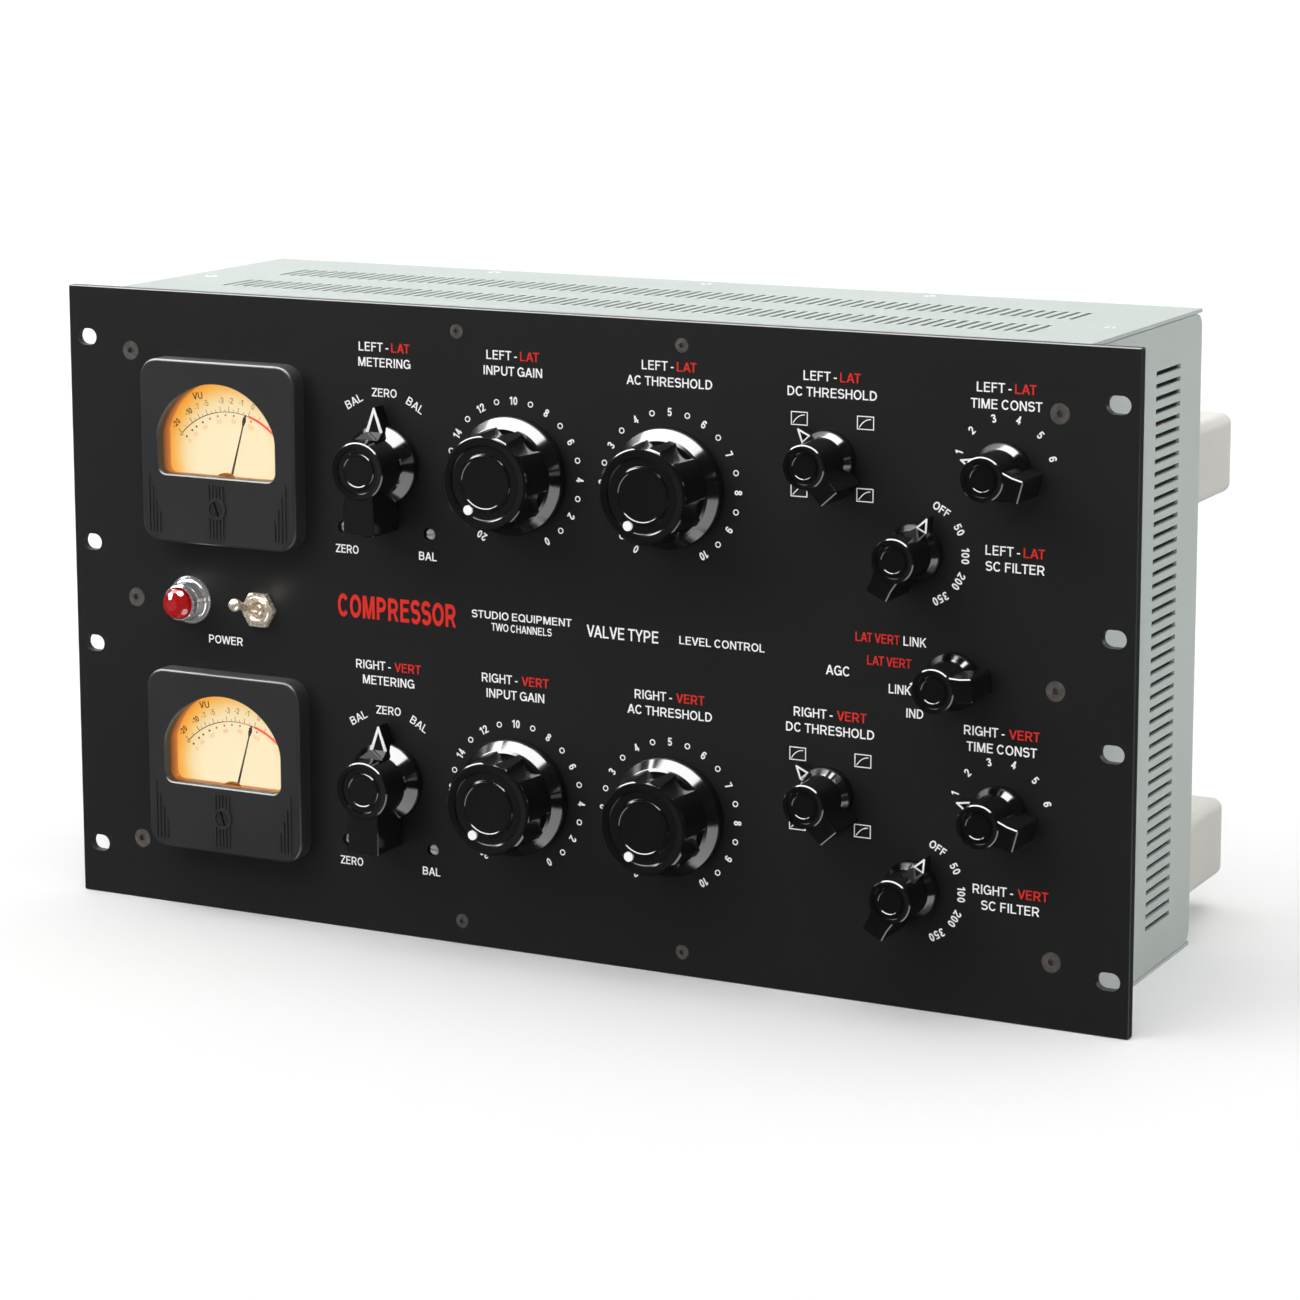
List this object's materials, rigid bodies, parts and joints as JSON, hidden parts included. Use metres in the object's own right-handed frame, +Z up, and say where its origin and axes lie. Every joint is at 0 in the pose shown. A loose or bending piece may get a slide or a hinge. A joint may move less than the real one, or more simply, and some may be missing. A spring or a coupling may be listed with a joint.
{
  "type": "rack compressor",
  "caption": "Six-unit rack valve compressor: black panel with lit level meters, fluted and pointer knobs, toggle switch and jewel lamp on a slotted sage case.",
  "frame": {"origin": "centre of the rack-slot pattern, on the rear (mounting) face of the front panel", "axes": "+X right seen from the front, +Y to the rear (out of the panel's mounting face), +Z up"},
  "size_m": [0.4826, 0.2227, 0.2661],
  "materials": {
    "panel_black": "satin",
    "screw_black": "satin",
    "case_paint": "satin",
    "case_screw": "satin",
    "meter_plastic": "satin",
    "meter_glass": "gloss",
    "dial_card": "matte",
    "movement_metal": "satin",
    "needle_black": "matte",
    "zero_screw_black": "gloss",
    "chrome_trim": "gloss",
    "jewel_red": "gloss",
    "knob_black": "gloss",
    "shaft_metal": "satin",
    "switch_body": "matte",
    "board_green": "satin",
    "tube_glass": "gloss",
    "can_paint": "satin",
    "transformer_steel": "satin",
    "connector_black": "satin",
    "inlet_black": "matte"
  },
  "bodies": {
    "chassis": {"front_panel": "panel_black", "panel_screws": "screw_black", "top_cover": "case_paint", "bottom_cover": "case_paint", "left_side_plate": "case_paint", "right_side_plate": "case_paint", "rear_panel": "case_paint", "case_screws": "case_screw", "meter_cases": "meter_plastic", "meter_windows": "meter_glass", "meter_dials": "dial_card", "meter_movements": "movement_metal", "pilot_lamp_bezel": "chrome_trim", "pilot_lamp_jewel": "jewel_red", "power_switch_body": "chrome_trim", "panel_nuts": "chrome_trim", "rotary_switches": "switch_body", "potentiometer_bodies": "switch_body", "circuit_boards": "board_green", "vacuum_tubes": "tube_glass", "transformer_cans": "can_paint", "power_transformer": "transformer_steel", "input_sockets": "connector_black", "output_sockets": "connector_black", "mains_inlet": "inlet_black"},
    "left_metering": {"left_metering_knob": "knob_black", "left_metering_shaft": "shaft_metal"},
    "left_input_gain": {"left_input_gain_knob": "knob_black", "left_input_gain_shaft": "shaft_metal"},
    "left_ac_threshold": {"left_ac_threshold_knob": "knob_black", "left_ac_threshold_shaft": "shaft_metal"},
    "left_dc_threshold": {"left_dc_threshold_knob": "knob_black", "left_dc_threshold_shaft": "shaft_metal"},
    "left_time_constant": {"left_time_constant_knob": "knob_black", "left_time_constant_shaft": "shaft_metal"},
    "left_sc_filter": {"left_sc_filter_knob": "knob_black", "left_sc_filter_shaft": "shaft_metal"},
    "right_metering": {"right_metering_knob": "knob_black", "right_metering_shaft": "shaft_metal"},
    "right_input_gain": {"right_input_gain_knob": "knob_black", "right_input_gain_shaft": "shaft_metal"},
    "right_ac_threshold": {"right_ac_threshold_knob": "knob_black", "right_ac_threshold_shaft": "shaft_metal"},
    "right_dc_threshold": {"right_dc_threshold_knob": "knob_black", "right_dc_threshold_shaft": "shaft_metal"},
    "right_time_constant": {"right_time_constant_knob": "knob_black", "right_time_constant_shaft": "shaft_metal"},
    "right_sc_filter": {"right_sc_filter_knob": "knob_black", "right_sc_filter_shaft": "shaft_metal"},
    "agc": {"agc_knob": "knob_black", "agc_shaft": "shaft_metal"},
    "power_toggle": {"power_toggle_lever": "chrome_trim"},
    "left_needle": {"left_meter_needle": "needle_black"},
    "left_zero_screw": {"left_meter_zero_screw": "zero_screw_black"},
    "left_zero_trimmer": {"left_zero_trimmer": "shaft_metal"},
    "left_balance_trimmer": {"left_balance_trimmer": "shaft_metal"},
    "right_needle": {"right_meter_needle": "needle_black"},
    "right_zero_screw": {"right_meter_zero_screw": "zero_screw_black"},
    "right_zero_trimmer": {"right_zero_trimmer": "shaft_metal"},
    "right_balance_trimmer": {"right_balance_trimmer": "shaft_metal"}
  },
  "joints": [
    {"name": "left_metering_turn", "type": "hinge", "parent": "chassis", "child": "left_metering", "pos_m": [-0.0854, -0.004, 0.0664], "axis": [0, 1, 0], "range_deg": [-30, 30]},
    {"name": "left_input_gain_turn", "type": "hinge", "parent": "chassis", "child": "left_input_gain", "pos_m": [-0.0247, -0.004, 0.0664], "axis": [0, 1, 0], "range_deg": [0, 300]},
    {"name": "left_ac_threshold_turn", "type": "hinge", "parent": "chassis", "child": "left_ac_threshold", "pos_m": [0.0457, -0.004, 0.0664], "axis": [0, 1, 0], "range_deg": [0, 300]},
    {"name": "left_dc_threshold_turn", "type": "hinge", "parent": "chassis", "child": "left_dc_threshold", "pos_m": [0.1152, -0.004, 0.0829], "axis": [0, 1, 0], "range_deg": [-90, 180]},
    {"name": "left_time_constant_turn", "type": "hinge", "parent": "chassis", "child": "left_time_constant", "pos_m": [0.1877, -0.004, 0.0832], "axis": [0, 1, 0], "range_deg": [0, 150]},
    {"name": "left_sc_filter_turn", "type": "hinge", "parent": "chassis", "child": "left_sc_filter", "pos_m": [0.1519, -0.004, 0.0493], "axis": [0, 1, 0], "range_deg": [0, 120]},
    {"name": "right_metering_turn", "type": "hinge", "parent": "chassis", "child": "right_metering", "pos_m": [-0.0854, -0.004, -0.06695], "axis": [0, 1, 0], "range_deg": [-30, 30]},
    {"name": "right_input_gain_turn", "type": "hinge", "parent": "chassis", "child": "right_input_gain", "pos_m": [-0.0247, -0.004, -0.06695], "axis": [0, 1, 0], "range_deg": [0, 300]},
    {"name": "right_ac_threshold_turn", "type": "hinge", "parent": "chassis", "child": "right_ac_threshold", "pos_m": [0.0457, -0.004, -0.06695], "axis": [0, 1, 0], "range_deg": [0, 300]},
    {"name": "right_dc_threshold_turn", "type": "hinge", "parent": "chassis", "child": "right_dc_threshold", "pos_m": [0.1152, -0.004, -0.05045], "axis": [0, 1, 0], "range_deg": [-90, 180]},
    {"name": "right_time_constant_turn", "type": "hinge", "parent": "chassis", "child": "right_time_constant", "pos_m": [0.1877, -0.004, -0.05015], "axis": [0, 1, 0], "range_deg": [0, 150]},
    {"name": "right_sc_filter_turn", "type": "hinge", "parent": "chassis", "child": "right_sc_filter", "pos_m": [0.1519, -0.004, -0.08405], "axis": [0, 1, 0], "range_deg": [0, 120]},
    {"name": "agc_turn", "type": "hinge", "parent": "chassis", "child": "agc", "pos_m": [0.1684, -0.004, 0.0003], "axis": [0, 1, 0], "range_deg": [-30, 60]},
    {"name": "power_toggle_tilt", "type": "hinge", "parent": "chassis", "child": "power_toggle", "pos_m": [-0.1475, -0.0048, 0], "axis": [1, 0, 0], "range_deg": [0, 32]},
    {"name": "left_needle_swing", "type": "hinge", "parent": "chassis", "child": "left_needle", "pos_m": [-0.1627, -0.0028, 0.0501], "axis": [0, 1, 0], "range_deg": [-62.5, 28.5]},
    {"name": "left_zero_screw_turn", "type": "hinge", "parent": "chassis", "child": "left_zero_screw", "pos_m": [-0.1627, -0.01, 0.0429], "axis": [0, 1, 0], "range_deg": [-45, 45]},
    {"name": "left_zero_trimmer_turn", "type": "hinge", "parent": "chassis", "child": "left_zero_trimmer", "pos_m": [-0.1057, -0.004, 0.0385], "axis": [0, 1, 0], "range_deg": [-135, 135]},
    {"name": "left_balance_trimmer_turn", "type": "hinge", "parent": "chassis", "child": "left_balance_trimmer", "pos_m": [-0.0648, -0.004, 0.0385], "axis": [0, 1, 0], "range_deg": [-135, 135]},
    {"name": "right_needle_swing", "type": "hinge", "parent": "chassis", "child": "right_needle", "pos_m": [-0.1627, -0.0028, -0.08325], "axis": [0, 1, 0], "range_deg": [-62.5, 28.5]},
    {"name": "right_zero_screw_turn", "type": "hinge", "parent": "chassis", "child": "right_zero_screw", "pos_m": [-0.1627, -0.01, -0.09045], "axis": [0, 1, 0], "range_deg": [-45, 45]},
    {"name": "right_zero_trimmer_turn", "type": "hinge", "parent": "chassis", "child": "right_zero_trimmer", "pos_m": [-0.1057, -0.004, -0.09485], "axis": [0, 1, 0], "range_deg": [-135, 135]},
    {"name": "right_balance_trimmer_turn", "type": "hinge", "parent": "chassis", "child": "right_balance_trimmer", "pos_m": [-0.0648, -0.004, -0.09485], "axis": [0, 1, 0], "range_deg": [-135, 135]}
  ]
}
